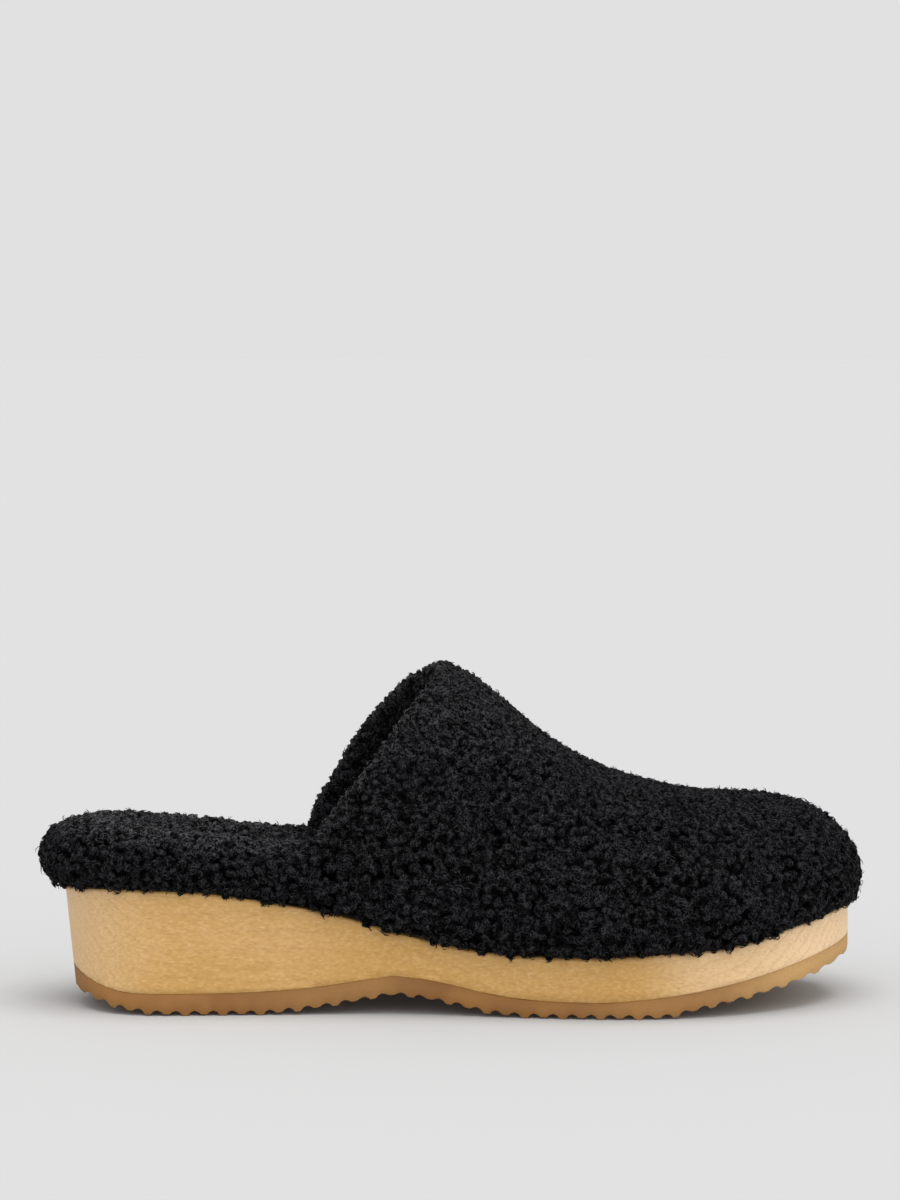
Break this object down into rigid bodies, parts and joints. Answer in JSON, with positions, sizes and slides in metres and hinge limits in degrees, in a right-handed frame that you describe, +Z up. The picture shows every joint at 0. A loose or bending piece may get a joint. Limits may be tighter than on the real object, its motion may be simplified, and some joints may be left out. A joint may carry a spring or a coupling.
{
  "type": "clog slipper",
  "caption": "Open-backed clog slipper for the right foot: wooden platform sole with heel, rippled rubber outsole, padded shearling footbed and curly shearling upper.",
  "frame": {"origin": "middle of the shoe's box, on the floor", "axes": "+X towards the toe, +Y towards the inner side of the right foot, +Z up"},
  "size_m": [0.2628, 0.1056, 0.1075],
  "materials": {
    "tan_rubber": "matt, tan",
    "alder_wood": "satin, light wood",
    "black_shearling": "curly pile, matt black"
  },
  "bodies": {
    "root": {"outsole": "tan_rubber", "wood_sole": "alder_wood", "footbed": "black_shearling", "upper": "black_shearling"}
  },
  "joints": []
}
